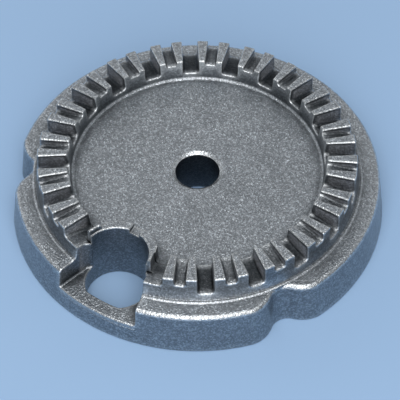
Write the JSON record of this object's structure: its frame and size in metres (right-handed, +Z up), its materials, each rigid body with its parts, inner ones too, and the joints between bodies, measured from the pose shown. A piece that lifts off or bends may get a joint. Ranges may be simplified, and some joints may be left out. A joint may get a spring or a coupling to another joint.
{
  "type": "gas hob burner head",
  "caption": "Round cast burner head for a gas hob: a slotted flame crown on a flange with a skirt, a central gas throat and a walled electrode hole in a side cut-out.",
  "frame": {"origin": "on the axis of the central throat, at the level of the skirt's bottom edge", "axes": "+Z up along the throat's axis; -Y towards the electrode cut-out; +X to the right seen from the cut-out's side"},
  "size_m": [0.0774, 0.0774, 0.0154],
  "materials": {
    "cast_aluminium": "shot-blasted die casting, satin, with bright rounded edges"
  },
  "bodies": {
    "root": {"burner_head": "cast_aluminium"}
  },
  "joints": []
}
